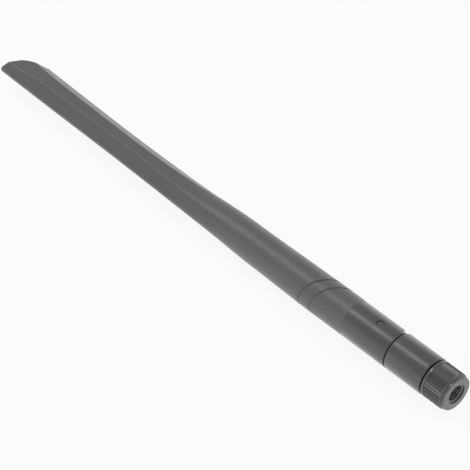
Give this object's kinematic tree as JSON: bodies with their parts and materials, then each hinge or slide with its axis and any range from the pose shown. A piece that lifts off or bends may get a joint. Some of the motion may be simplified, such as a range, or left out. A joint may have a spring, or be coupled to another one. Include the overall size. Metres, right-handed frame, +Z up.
{
  "type": "wifi antenna",
  "caption": "Swivel wifi antenna: flat swept blade on a round folding base with a knurled coupling nut for a threaded aerial socket.",
  "frame": {"origin": "centre of the box in plan, on the surface that the antenna lies on", "axes": "+X along the antenna to the coupling nut, +Z up out of the blade's broad face, the blade folds towards +Y"},
  "size_m": [0.1942, 0.0132, 0.0125],
  "materials": {
    "radome_plastic": "charcoal moulded plastic with a fine matte grain",
    "hinge_plastic": "charcoal moulded plastic with a smooth satin skin",
    "nut_metal": "dark satin plated metal",
    "gilt_brass": "gold plated brass",
    "pin_steel": "dark turned steel",
    "white_insulator": "waxy white insulator",
    "black_rubber": "black rubber",
    "cable_jacket": "thin black cable jacket",
    "board_laminate": "green printed circuit laminate with copper arms",
    "solder": "tin solder",
    "grey_foam": "soft grey foam"
  },
  "bodies": {
    "connector": {"connector_body": "gilt_brass", "insulator": "white_insulator", "centre_contact": "gilt_brass", "retaining_ring": "pin_steel", "friction_ring": "black_rubber", "crimp_ferrule": "gilt_brass"},
    "nut": {"coupling_nut": "nut_metal"},
    "base": {"base_sleeve": "hinge_plastic", "hinge_pin_upper": "pin_steel", "hinge_pin_lower": "pin_steel"},
    "antenna": {"hinge_housing": "hinge_plastic", "radome": "radome_plastic", "coax_cable": "cable_jacket", "heat_shrink": "black_rubber", "foam_collar": "grey_foam", "foam_pad": "grey_foam", "radiator_board": "board_laminate", "ground_solder": "solder", "live_solder": "solder"}
  },
  "joints": [
    {"name": "nut_spin", "type": "hinge", "parent": "connector", "child": "nut", "pos_m": [0.09267, -0.00033, 0.00624], "axis": [1, 0, 0], "continuous": true},
    {"name": "base_swivel", "type": "hinge", "parent": "connector", "child": "base", "pos_m": [0.08778, -0.00033, 0.00624], "axis": [1, 0, 0], "range_deg": [-180, 180]},
    {"name": "elbow_fold", "type": "hinge", "parent": "base", "child": "antenna", "pos_m": [0.06598, -0.00033, 0.00624], "axis": [0, 0, -1], "range_deg": [0, 90], "deforming": ["coax_cable"]}
  ]
}
